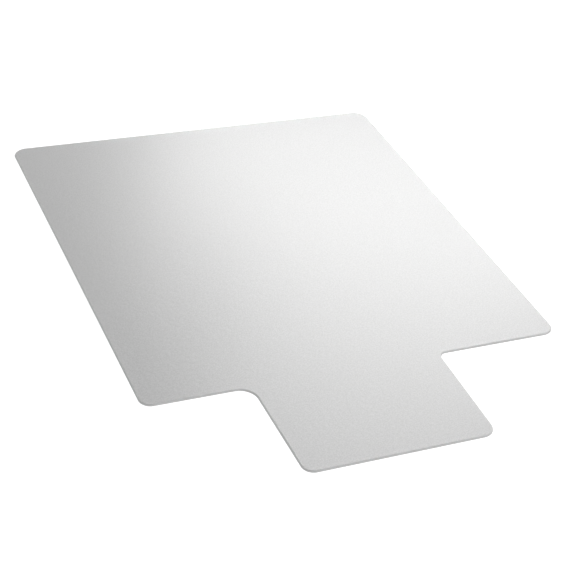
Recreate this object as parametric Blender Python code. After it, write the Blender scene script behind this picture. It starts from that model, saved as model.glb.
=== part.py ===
"""Chair mat with a desk lip: a flat sheet laminated from three plies, for a caster chair on a hard floor.

The mat lies on the plane z = 0, centred on the origin in plan, with its lip pointing along -Y.
From the floor up its plies are the anti-slip backing, the core sheet and the embossed wear film.
One bevel runs round the whole edge, through the core and the film, so that casters roll on and off.
"""

import math

import bpy
from mathutils import Matrix, Vector

# Driving dimensions, in metres
BODY_WIDTH = 0.900
BODY_LENGTH = 0.950
LIP_LENGTH = 0.250
LIP_ROOT_WIDTH = 0.404
LIP_TIP_WIDTH = 0.396
LIP_CENTRE_X = -0.030  # the lip stands off the mat's middle line; 0 would centre it
THICKNESS = 0.0030

BACK_CORNER_RADIUS = 0.032
RIGHT_CORNER_RADIUS = 0.030  # of the right shoulder and the lip's right corner
LEFT_CORNER_RADIUS = 0.023
RIGHT_ROOT_RADIUS = 0.016  # of the inner corner where the lip's right side meets the body
LEFT_ROOT_RADIUS = 0.034

BACKING_THICKNESS = 0.0005
FILM_THICKNESS = 0.0007
PLY_GAP = 0.0003  # clearance between two plies
BEVEL_RUN = 0.0022  # how far the bevel goes in from the edge, up to the top face
ARC_STEP = math.radians(6)  # largest turn between two points of a rounded corner

# Worked out from the driving dimensions
TOTAL_LENGTH = BODY_LENGTH + LIP_LENGTH
BACK_Y = TOTAL_LENGTH / 2
LIP_FRONT_Y = -TOTAL_LENGTH / 2
SHOULDER_Y = LIP_FRONT_Y + LIP_LENGTH
CORE_BOTTOM = BACKING_THICKNESS + PLY_GAP
FILM_BOTTOM = THICKNESS - FILM_THICKNESS
CORE_TOP = FILM_BOTTOM - PLY_GAP


def clear_scene():
    """Empties the scene."""
    for obj in list(bpy.data.objects):
        bpy.data.objects.remove(obj, do_unlink=True)


def plastic(name, grey, roughness):
    """A plain plastic: a Principled BSDF of one neutral grey."""
    material = bpy.data.materials.new(name)
    material.use_nodes = True
    shader = material.node_tree.nodes["Principled BSDF"]
    shader.inputs["Base Color"].default_value = (grey, grey, grey, 1.0)
    shader.inputs["Roughness"].default_value = roughness
    shader.inputs["Metallic"].default_value = 0.0
    return material


def rounded_corner(before, corner, after, radius):
    """The points of the arc that rounds a corner between two straight edges, in order along the outline."""
    towards_before = (before - corner).normalized()
    towards_after = (after - corner).normalized()
    half_angle = towards_before.angle(towards_after) / 2
    bisector = (towards_before + towards_after).normalized()
    centre = corner + bisector * (radius / math.sin(half_angle))
    start = corner + towards_before * (radius / math.tan(half_angle)) - centre
    turn = math.pi - 2 * half_angle
    if towards_before.cross(towards_after) > 0:
        turn = -turn
    steps = math.ceil(abs(turn) / ARC_STEP)
    return [centre + Matrix.Rotation(turn * i / steps, 2) @ start for i in range(steps + 1)]


def mat_outline(inset):
    """The mat's plan drawn in by inset all round, counterclockwise, as 2-D points."""
    side = BODY_WIDTH / 2 - inset
    half_root = LIP_ROOT_WIDTH / 2 - inset
    half_tip = LIP_TIP_WIDTH / 2 - inset
    front = LIP_FRONT_Y + inset
    shoulder = SHOULDER_Y + inset
    back = BACK_Y - inset
    corners = [
        (LIP_CENTRE_X - half_tip, front, LEFT_CORNER_RADIUS - inset),
        (LIP_CENTRE_X + half_tip, front, RIGHT_CORNER_RADIUS - inset),
        (LIP_CENTRE_X + half_root, shoulder, RIGHT_ROOT_RADIUS + inset),
        (side, shoulder, RIGHT_CORNER_RADIUS - inset),
        (side, back, BACK_CORNER_RADIUS - inset),
        (-side, back, BACK_CORNER_RADIUS - inset),
        (-side, shoulder, LEFT_CORNER_RADIUS - inset),
        (LIP_CENTRE_X - half_root, shoulder, LEFT_ROOT_RADIUS + inset),
    ]
    places = [Vector((x, y)) for x, y, _ in corners]
    points = []
    for i, (_, _, radius) in enumerate(corners):
        points += rounded_corner(places[i - 1], places[i], places[(i + 1) % len(places)], radius)
    return points


def bevel_inset(height):
    """How far in from the mat's edge its side lies at a height. The side is upright below the core."""
    climb = max(0.0, height - CORE_BOTTOM) / (THICKNESS - CORE_BOTTOM)
    return BEVEL_RUN * climb


def make_ply(name, bottom, top, material):
    """One ply between two heights, its side on the mat's common bevel."""
    lower = [(*point, bottom) for point in mat_outline(bevel_inset(bottom))]
    upper = [(*point, top) for point in mat_outline(bevel_inset(top))]
    count = len(lower)
    side = [(i, (i + 1) % count, count + (i + 1) % count, count + i) for i in range(count)]
    underside = tuple(reversed(range(count)))
    top_face = tuple(range(count, 2 * count))
    mesh = bpy.data.meshes.new(name)
    mesh.from_pydata(lower + upper, [], [underside, top_face, *side])
    mesh.materials.append(material)
    mesh.shade_smooth()
    mesh.set_sharp_from_angle(angle=math.radians(30))
    obj = bpy.data.objects.new(name, mesh)
    bpy.context.scene.collection.objects.link(obj)
    return obj


def main():
    clear_scene()
    make_ply("antislip_backing", 0.0, BACKING_THICKNESS, plastic("backing", 0.56, 0.75))
    make_ply("core_sheet", CORE_BOTTOM, CORE_TOP, plastic("core", 0.62, 0.35))
    make_ply("wear_film", FILM_BOTTOM, THICKNESS, plastic("film", 0.70, 0.45))


main()
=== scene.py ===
"""The looks of a chair mat with a desk lip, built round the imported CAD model.

Each of the three CAD plies is replaced by a finer closed piece with the same outline and bevel: the anti-slip
backing, the core sheet and the wear film, whose top is embossed with a fine pebble. The mat lies on a white
floor in a pale studio. Two large softboxes behind it on its right lay a sheen across it, and weaker ones
stand at its sides and in front.
"""

import math

import bpy
import numpy as np
from mathutils import Matrix, Quaternion, Vector
from mathutils.geometry import delaunay_2d_cdt


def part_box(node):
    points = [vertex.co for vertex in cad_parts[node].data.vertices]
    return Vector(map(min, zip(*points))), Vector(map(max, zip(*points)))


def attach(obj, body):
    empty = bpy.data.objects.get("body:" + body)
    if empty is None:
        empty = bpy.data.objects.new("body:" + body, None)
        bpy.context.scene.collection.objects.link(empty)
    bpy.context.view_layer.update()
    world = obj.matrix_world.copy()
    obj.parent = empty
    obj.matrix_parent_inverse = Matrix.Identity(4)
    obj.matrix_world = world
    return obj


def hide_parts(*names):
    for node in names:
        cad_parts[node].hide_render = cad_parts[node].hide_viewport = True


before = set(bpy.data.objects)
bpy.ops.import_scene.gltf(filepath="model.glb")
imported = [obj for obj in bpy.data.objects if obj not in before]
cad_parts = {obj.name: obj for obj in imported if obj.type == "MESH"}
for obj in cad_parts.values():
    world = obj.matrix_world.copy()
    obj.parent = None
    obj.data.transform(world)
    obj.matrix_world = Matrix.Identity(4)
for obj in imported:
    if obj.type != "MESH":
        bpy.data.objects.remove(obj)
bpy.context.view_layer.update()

# The mat's size, from the frame
BACKING_LOW, BACKING_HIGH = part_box("antislip_backing")
CORE_LOW, CORE_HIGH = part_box("core_sheet")
FILM_LOW, FILM_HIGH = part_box("wear_film")
HALF_WIDTH = BACKING_HIGH.x
BACK_Y = BACKING_HIGH.y
LIP_FRONT_Y = BACKING_LOW.y
THICKNESS = FILM_HIGH.z
BEVEL_START = CORE_LOW.z                                                     # the side is upright below this
BEVEL_SLOPE = (BACKING_HIGH.x - FILM_HIGH.x) / (FILM_LOW.z - CORE_LOW.z)     # run over rise

# The rest of the outline, as in the CAD model, in metres
LIP_LENGTH = 0.250
LIP_ROOT_WIDTH = 0.404
LIP_TIP_WIDTH = 0.396
LIP_CENTRE_X = -0.030
BACK_CORNER_RADIUS = 0.032
RIGHT_CORNER_RADIUS = 0.030                  # of the right shoulder and the lip's right corner
LEFT_CORNER_RADIUS = 0.023
RIGHT_ROOT_RADIUS = 0.016                    # of the inner corner where the lip's right side meets the body
LEFT_ROOT_RADIUS = 0.034

# How the visible plies part: each CAD gap is closed but for a hairline
HALF_SEAM = 0.00002
BACKING_TOP = (BACKING_HIGH.z + CORE_LOW.z) / 2
CORE_TOP = (CORE_HIGH.z + FILM_LOW.z) / 2

# Fineness of the meshes
OUTLINE_STEP = 0.0050
ARC_STEP = math.radians(6)
ROLL_STEPS = 4
PLAIN_SPACING = 0.030       # of the points inside a plain face
SHARP_ANGLE = math.radians(35)
POINTS_AT_A_TIME = 4000     # whose distances to the outline are worked out together, which bounds the memory
FILL_INSIDE = 1             # the triangulation keeps only what lies inside the loop
SAME_POINT = 1e-7

# The embossed top
EDGE_ROLL = 0.0006          # radius where the bevel turns into the top
ROLL_BORDER = 0.0003        # a narrow flat band inside the roll, which keeps its shading off the top
SMOOTH_BORDER = 0.0055      # the top is plain this far in from the mat's edge
FADE_IN = 0.0040            # and the pebble takes this much more to reach its full depth
PEBBLE_SPACING = 0.0036
PEBBLE_DEPTH = 0.00014
PEBBLE_JITTER = 0.22        # how far a lattice point strays, as a share of the spacing
PEBBLE_MARGIN = 0.6         # how far the lattice keeps off the border, as a share of the spacing
PEBBLE_SEED = 11

# Materials: greys and roughnesses from lowest to highest, sizes and depths in metres
NOISE_LOW = 0.3             # most of a noise lies between these two
NOISE_HIGH = 0.7
FILM_GREYS = (0.425, 0.490)
FILM_SPECKLE_SIZE = 0.0026
FILM_ROUGHNESSES = (0.30, 0.38)
FILM_ROUGHNESS_SIZE = 0.0040
FILM_CELL_SIZE = 0.0016
FILM_CELL_DEPTH = 0.00006
FILM_HAIR_SIZE = 0.0007
FILM_HAIR_DEPTH = 0.00003
# Painted light: the sides and bevels take a lighter grey than the top film, which brightens the bevels that
# face away from the softboxes
BEVEL_PAINTED_LIGHT_GREYS = (0.57, 0.60)
CORE_GREYS = (0.50, 0.53)
PLASTIC_ROUGHNESS = 0.40
PLASTIC_BLOTCH_SIZE = 0.030
PLASTIC_GRAIN_SIZE = 0.0012
PLASTIC_GRAIN_DEPTH = 0.00003
RUBBER_GREYS = (0.37, 0.40)
RUBBER_ROUGHNESS = 0.75
RUBBER_SPECULAR = 0.35
RUBBER_BLOTCH_SIZE = 0.020
RUBBER_CELL_SIZE = 0.0011
RUBBER_CELL_DEPTH = 0.00008

# Camera
CAMERA_AIM = Vector((-0.0354, -0.0641, 0.0))
CAMERA_DISTANCE = 3.0745
CAMERA_AZIMUTH = math.radians(207.39)        # from +Y towards +X, like the softboxes'
CAMERA_ELEVATION = math.radians(34.97)
CAMERA_ROLL = math.radians(7.69)
CAMERA_LENS = 92.24                          # in millimetres, as the sensor's width is
CAMERA_SENSOR = 36.0

# Studio
FLOOR_SIZE = 60.0
FLOOR_Z = -0.0002
FLOOR_GREY = 0.25
FLOOR_GLOW = 0.95
ROOM_HORIZON = 1.0
ROOM_CEILING = 0.17
HORIZON_TOP = math.radians(14)               # the room is as bright as its horizon up to here,
CEILING_START = math.radians(26)             # and as dim as its ceiling from here on
LIT_POINT = Vector((0.10, 0.05, 0.0))        # what the softboxes face


def rounded_corner(before, corner, after, radius):
    """The arc that rounds a corner between two straight edges: its points and the way inwards at each."""
    towards_before = (before - corner).normalized()
    towards_after = (after - corner).normalized()
    half_angle = towards_before.angle(towards_after) / 2
    bisector = (towards_before + towards_after).normalized()
    centre = corner + bisector * (radius / math.sin(half_angle))
    start = corner + towards_before * (radius / math.tan(half_angle)) - centre
    turn = math.pi - 2 * half_angle
    inward = -1.0
    if towards_before.cross(towards_after) > 0:
        turn = -turn
        inward = 1.0
    steps = math.ceil(abs(turn) / ARC_STEP)
    spokes = [Matrix.Rotation(turn * i / steps, 2) @ start for i in range(steps + 1)]
    return [(centre + spoke, spoke.normalized() * inward) for spoke in spokes]


def mat_outline():
    """The mat's plan, counterclockwise: an array of points, and an array of the way inwards at each."""
    shoulder = LIP_FRONT_Y + LIP_LENGTH
    half_root = LIP_ROOT_WIDTH / 2
    half_tip = LIP_TIP_WIDTH / 2
    corners = [
        (LIP_CENTRE_X - half_tip, LIP_FRONT_Y, LEFT_CORNER_RADIUS),
        (LIP_CENTRE_X + half_tip, LIP_FRONT_Y, RIGHT_CORNER_RADIUS),
        (LIP_CENTRE_X + half_root, shoulder, RIGHT_ROOT_RADIUS),
        (HALF_WIDTH, shoulder, RIGHT_CORNER_RADIUS),
        (HALF_WIDTH, BACK_Y, BACK_CORNER_RADIUS),
        (-HALF_WIDTH, BACK_Y, BACK_CORNER_RADIUS),
        (-HALF_WIDTH, shoulder, LEFT_CORNER_RADIUS),
        (LIP_CENTRE_X - half_root, shoulder, LEFT_ROOT_RADIUS),
    ]
    places = [Vector((x, y)) for x, y, _ in corners]
    arcs = []
    for i, (_, _, radius) in enumerate(corners):
        arcs.append(rounded_corner(places[i - 1], places[i], places[(i + 1) % len(places)], radius))
    outline = []
    for i, arc in enumerate(arcs):
        outline += arc
        start, inward = arc[-1]
        end, _ = arcs[(i + 1) % len(arcs)][0]
        steps = math.ceil((end - start).length / OUTLINE_STEP)
        outline += [(start.lerp(end, j / steps), inward) for j in range(1, steps)]
    points = np.array([point[:] for point, _ in outline])
    inwards = np.array([way[:] for _, way in outline])
    return points, inwards


OUTLINE, INWARDS = mat_outline()


def ring(inset, height):
    """The outline drawn in by inset, at a height, as an array of 3-D points."""
    plan = OUTLINE + INWARDS * inset
    return np.column_stack([plan, np.full(len(plan), height)])


def bevel_inset(height):
    """How far in from the mat's edge its side lies at a height."""
    return BEVEL_SLOPE * max(0.0, height - BEVEL_START)


def row_span(loop, y):
    """The lowest and highest x at which a closed loop crosses a line of constant y."""
    ends = np.roll(loop, -1, axis=0)
    crosses = (loop[:, 1] <= y) != (ends[:, 1] <= y)
    start = loop[crosses]
    end = ends[crosses]
    x = start[:, 0] + (end[:, 0] - start[:, 0]) * (y - start[:, 1]) / (end[:, 1] - start[:, 1])
    return x.min(), x.max()


def lattice(inset, spacing):
    """2-D points on a staggered lattice inside the outline drawn in by inset."""
    loop = OUTLINE + INWARDS * inset
    row_step = spacing * math.sqrt(3) / 2
    rows = []
    for row in range(1, int((BACK_Y - LIP_FRONT_Y) / row_step)):
        y = LIP_FRONT_Y + row * row_step
        if loop[:, 1].min() < y < loop[:, 1].max():
            low, high = row_span(loop, y)
            stagger = spacing / 2 * (row % 2)
            first = math.ceil((low - stagger) / spacing)
            last = math.floor((high - stagger) / spacing)
            x = np.arange(first, last + 1) * spacing + stagger
            rows.append(np.column_stack([x, np.full(len(x), y)]))
    return np.vstack(rows)


def fill(loop, inner):
    """Triangles that fill a closed loop of 2-D points and take up the inner points, as indices into both."""
    points = [Vector(point) for point in np.vstack([loop, inner]).tolist()]
    whole_loop = tuple(range(len(loop)))
    _, _, triangles, origins, _, _ = delaunay_2d_cdt(points, [], [whole_loop], FILL_INSIDE, SAME_POINT)
    return [[origins[i][0] for i in triangle] for triangle in triangles]


def plain_face(inset, height):
    """Points for a plain flat face inside an edge at inset."""
    plan = lattice(inset + PLAIN_SPACING / 2, PLAIN_SPACING)
    return np.column_stack([plan, np.full(len(plan), height)])


def ply(name, profile, top_inner, face_material, side_material, flat_bands=0):
    """A closed ply. profile holds (inset, height) from the edge of its underside up to the edge of its top,
    and top_inner the 3-D points inside that last edge. Its side is all the bands but the last flat_bands."""
    count = len(OUTLINE)
    rings = [ring(inset, height) for inset, height in profile]
    bottom_inner = plain_face(*profile[0])
    faces = []
    for level in range(len(rings) - 1):
        for i in range(count):
            j = (i + 1) % count
            low = level * count
            high = low + count
            faces.append((low + i, low + j, high + j, high + i))
    last = (len(rings) - 1) * count
    top_start = len(rings) * count
    bottom_start = top_start + len(top_inner)
    for face in fill(rings[-1][:, :2], top_inner[:, :2]):
        faces.append([last + i if i < count else top_start + i - count for i in face])
    for face in fill(rings[0][:, :2], bottom_inner[:, :2]):
        faces.append([i if i < count else bottom_start + i - count for i in reversed(face)])
    mesh = bpy.data.meshes.new(name)
    mesh.from_pydata(np.vstack([*rings, top_inner, bottom_inner]).tolist(), [], faces)
    mesh.validate()
    mesh.materials.append(face_material)
    mesh.materials.append(side_material)
    side_bands = len(rings) - 1 - flat_bands
    for face in mesh.polygons[:side_bands * count]:
        face.material_index = 1
    mesh.shade_smooth()
    mesh.set_sharp_from_angle(angle=SHARP_ANGLE)
    piece = bpy.data.objects.new(name, mesh)
    bpy.context.scene.collection.objects.link(piece)
    return piece


def edge_distance(points):
    """How far each 2-D point lies from the outline's nearest point."""
    distances = []
    for start in range(0, len(points), POINTS_AT_A_TIME):
        block = points[start:start + POINTS_AT_A_TIME]
        gaps = block[:, None, :] - OUTLINE[None, :, :]
        distances.append(np.sqrt((gaps ** 2).sum(axis=2).min(axis=1)))
    return np.concatenate(distances)


def pebbled_top(inset):
    """Points of the embossed top: a pebble of random height at each, fading out towards the smooth border."""
    draws = np.random.default_rng(PEBBLE_SEED)
    plan = lattice(inset + PEBBLE_SPACING * PEBBLE_MARGIN, PEBBLE_SPACING)
    plan += draws.uniform(-PEBBLE_JITTER, PEBBLE_JITTER, plan.shape) * PEBBLE_SPACING
    share = np.clip((edge_distance(plan) - SMOOTH_BORDER) / FADE_IN, 0.0, 1.0)
    height = THICKNESS - PEBBLE_DEPTH * share * draws.uniform(0.0, 1.0, len(plan))
    return np.column_stack([plan, height])


class Nodes:
    """A material's node tree, with short ways to add and link nodes."""

    def __init__(self, name):
        self.material = bpy.data.materials.new(name)
        self.material.use_nodes = True
        self.tree = self.material.node_tree
        self.sockets = self.tree.nodes["Principled BSDF"].inputs
        self.place = self.tree.nodes.new("ShaderNodeTexCoord").outputs["Object"]

    def noise(self, size, detail):
        """Noise whose blotches are about size metres across, with detail octaves of finer noise in them."""
        node = self.tree.nodes.new("ShaderNodeTexNoise")
        node.inputs["Scale"].default_value = 1.0 / size
        node.inputs["Detail"].default_value = detail
        self.tree.links.new(self.place, node.inputs["Vector"])
        return node.outputs["Fac"]

    def cells(self, size):
        """Smooth rounded cells about size metres across."""
        node = self.tree.nodes.new("ShaderNodeTexVoronoi")
        node.feature = "SMOOTH_F1"
        node.inputs["Scale"].default_value = 1.0 / size
        self.tree.links.new(self.place, node.inputs["Vector"])
        return node.outputs["Distance"]

    def drive(self, socket, noise, ends):
        """Lets a noise drive one of the shader's sockets between two ends. On a colour that gives greys."""
        node = self.tree.nodes.new("ShaderNodeMapRange")
        node.inputs["From Min"].default_value = NOISE_LOW
        node.inputs["From Max"].default_value = NOISE_HIGH
        low, high = ends
        node.inputs["To Min"].default_value = low
        node.inputs["To Max"].default_value = high
        self.tree.links.new(noise, node.inputs["Value"])
        self.tree.links.new(node.outputs["Result"], self.sockets[socket])

    def bump(self, *reliefs):
        """Bumps the surface by each relief in turn, given as its pattern and its depth in metres."""
        normal = None
        for pattern, depth in reliefs:
            node = self.tree.nodes.new("ShaderNodeBump")
            node.inputs["Distance"].default_value = depth
            self.tree.links.new(pattern, node.inputs["Height"])
            if normal:
                self.tree.links.new(normal, node.inputs["Normal"])
            normal = node.outputs["Normal"]
        self.tree.links.new(normal, self.sockets["Normal"])


def film_material():
    """Frosted light grey plastic: speckled, unevenly matte, with a fine hair-cell grain over its pebbles."""
    nodes = Nodes("embossed_film")
    nodes.drive("Base Color", nodes.noise(FILM_SPECKLE_SIZE, detail=0.0), FILM_GREYS)
    nodes.drive("Roughness", nodes.noise(FILM_ROUGHNESS_SIZE, detail=2.0), FILM_ROUGHNESSES)
    cells = nodes.cells(FILM_CELL_SIZE)
    hair = nodes.noise(FILM_HAIR_SIZE, detail=2.0)
    nodes.bump((cells, FILM_CELL_DEPTH), (hair, FILM_HAIR_DEPTH))
    return nodes.material


def satin_plastic(name, greys):
    """Plain satin plastic, hardly clouded and very finely grained."""
    nodes = Nodes(name)
    nodes.sockets["Roughness"].default_value = PLASTIC_ROUGHNESS
    nodes.drive("Base Color", nodes.noise(PLASTIC_BLOTCH_SIZE, detail=2.0), greys)
    nodes.bump((nodes.noise(PLASTIC_GRAIN_SIZE, detail=2.0), PLASTIC_GRAIN_DEPTH))
    return nodes.material


def backing_material():
    """Soft matte anti-slip face."""
    nodes = Nodes("antislip_rubber")
    nodes.sockets["Roughness"].default_value = RUBBER_ROUGHNESS
    nodes.sockets["Specular IOR Level"].default_value = RUBBER_SPECULAR
    nodes.drive("Base Color", nodes.noise(RUBBER_BLOTCH_SIZE, detail=3.0), RUBBER_GREYS)
    nodes.bump((nodes.cells(RUBBER_CELL_SIZE), RUBBER_CELL_DEPTH))
    return nodes.material


def edge_profile(bottom, top):
    """The common side of the mat between two heights, as (inset, height)."""
    levels = [bottom, top]
    if bottom < BEVEL_START < top:
        levels.insert(1, BEVEL_START)
    return [(bevel_inset(level), level) for level in levels]


def film_profile(bottom):
    """The film's side: up the bevel, round the roll, then in over two flat bands to the border's end."""
    slope = math.atan2(1.0, BEVEL_SLOPE)
    centre_inset = bevel_inset(THICKNESS) + EDGE_ROLL * math.tan(slope / 2)
    centre_height = THICKNESS - EDGE_ROLL
    profile = [(bevel_inset(bottom), bottom)]
    for i in range(ROLL_STEPS + 1):
        angle = slope * (1 - i / ROLL_STEPS)
        inset = centre_inset - EDGE_ROLL * math.sin(angle)
        profile.append((inset, centre_height + EDGE_ROLL * math.cos(angle)))
    return profile + [(centre_inset + ROLL_BORDER, THICKNESS), (SMOOTH_BORDER, THICKNESS)]


def make_pieces():
    """The three plies, each standing for its CAD node."""
    # The side material is the lighter grey of painted light on the bevels, on the core's and the film's sides
    # alike
    edge = satin_plastic("bevel_painted_light", BEVEL_PAINTED_LIGHT_GREYS)
    rubber = backing_material()
    backing_profile = edge_profile(0.0, BACKING_TOP - HALF_SEAM)
    core_profile = edge_profile(BACKING_TOP + HALF_SEAM, CORE_TOP - HALF_SEAM)
    top_profile = film_profile(CORE_TOP + HALF_SEAM)
    backing = ply("backing_face", backing_profile, plain_face(*backing_profile[-1]), rubber, rubber)
    core_faces = satin_plastic("core_plastic", CORE_GREYS)
    core = ply("core_plate", core_profile, plain_face(*core_profile[-1]), core_faces, edge)
    film = ply("embossed_top", top_profile, pebbled_top(SMOOTH_BORDER), film_material(), edge, flat_bands=2)
    for piece, node in ((backing, "antislip_backing"), (core, "core_sheet"), (film, "wear_film")):
        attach(piece, "root")
        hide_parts(node)


def make_floor():
    """A plain floor, white mostly by its own glow like a light table, so that it stays white all over."""
    half = FLOOR_SIZE / 2
    plan = [(-half, -half), (half, -half), (half, half), (-half, half)]
    mesh = bpy.data.meshes.new("floor")
    mesh.from_pydata([(*corner, FLOOR_Z) for corner in plan], [], [(0, 1, 2, 3)])
    material = bpy.data.materials.new("floor_white")
    material.use_nodes = True
    sockets = material.node_tree.nodes["Principled BSDF"].inputs
    sockets["Base Color"].default_value = (FLOOR_GREY, FLOOR_GREY, FLOOR_GREY, 1.0)
    sockets["Roughness"].default_value = 1.0
    sockets["Specular IOR Level"].default_value = 0.0
    sockets["Emission Color"].default_value = (1.0, 1.0, 1.0, 1.0)
    sockets["Emission Strength"].default_value = FLOOR_GLOW
    mesh.materials.append(material)
    floor = bpy.data.objects.new("floor", mesh)
    bpy.context.scene.collection.objects.link(floor)


def make_room():
    """The studio round the mat: white at the horizon, dimmer overhead."""
    world = bpy.data.worlds.new("studio")
    world.use_nodes = True
    tree = world.node_tree
    place = tree.nodes.new("ShaderNodeTexCoord")
    split = tree.nodes.new("ShaderNodeSeparateXYZ")
    ramp = tree.nodes.new("ShaderNodeMapRange")
    ramp.interpolation_type = "SMOOTHSTEP"
    ramp.inputs["From Min"].default_value = math.sin(HORIZON_TOP)
    ramp.inputs["From Max"].default_value = math.sin(CEILING_START)
    ramp.inputs["To Min"].default_value = ROOM_HORIZON
    ramp.inputs["To Max"].default_value = ROOM_CEILING
    tree.links.new(place.outputs["Generated"], split.inputs["Vector"])
    tree.links.new(split.outputs["Z"], ramp.inputs["Value"])
    tree.links.new(ramp.outputs["Result"], tree.nodes["Background"].inputs["Strength"])
    tree.nodes["Background"].inputs["Color"].default_value = (1.0, 1.0, 1.0, 1.0)
    bpy.context.scene.world = world


def direction(azimuth, elevation):
    """The unit vector at an azimuth, from +Y towards +X, and an elevation."""
    level = math.cos(elevation)
    return Vector((math.sin(azimuth) * level, math.cos(azimuth) * level, math.sin(elevation)))


def softbox(name, azimuth, elevation, distance, width, height, radiance, sheen=True):
    """An area light that faces the lit point and that the camera doesn't see. Its angles are in degrees.
    Without sheen it lights a surface but isn't mirrored in it."""
    light = bpy.data.lights.new(name, "AREA")
    light.shape = "RECTANGLE"
    light.size = width
    light.size_y = height
    light.energy = radiance * math.pi * width * height
    towards = direction(math.radians(azimuth), math.radians(elevation))
    lamp = bpy.data.objects.new(name, light)
    lamp.location = LIT_POINT + towards * distance
    lamp.rotation_euler = towards.to_track_quat("Z", "Y").to_euler()
    lamp.visible_camera = False
    lamp.visible_glossy = sheen
    bpy.context.scene.collection.objects.link(lamp)


def make_lights():
    """A low and a high softbox behind the mat on its right, weaker ones at its sides, and a fill in front."""
    softbox("low_softbox", azimuth=33.8, elevation=30.9, distance=3.0,
            width=2.04, height=0.63, radiance=10.3)
    softbox("high_softbox", azimuth=42.8, elevation=53.8, distance=2.25,
            width=1.4, height=1.4, radiance=4.7)
    softbox("left_softbox", azimuth=-47.0, elevation=27.0, distance=4.0,
            width=1.2, height=0.6, radiance=4.4)
    softbox("right_softbox", azimuth=133.0, elevation=18.0, distance=4.5,
            width=2.2, height=0.9, radiance=3.6)
    softbox("front_fill", azimuth=172.0, elevation=18.0, distance=6.0,
            width=4.0, height=1.6, radiance=4.4, sheen=False)


def make_camera():
    """The camera at the photograph's viewing angle."""
    back = direction(CAMERA_AZIMUTH, CAMERA_ELEVATION)
    data = bpy.data.cameras.new("camera")
    data.lens = CAMERA_LENS
    data.sensor_width = CAMERA_SENSOR
    camera = bpy.data.objects.new("camera", data)
    camera.location = CAMERA_AIM + back * CAMERA_DISTANCE
    level = back.to_track_quat("Z", "Y")
    camera.rotation_euler = (level @ Quaternion((0.0, 0.0, 1.0), CAMERA_ROLL)).to_euler()
    bpy.context.scene.collection.objects.link(camera)
    bpy.context.scene.camera = camera


make_pieces()
make_floor()
make_room()
make_lights()
make_camera()
bpy.context.scene.view_settings.view_transform = "Standard"
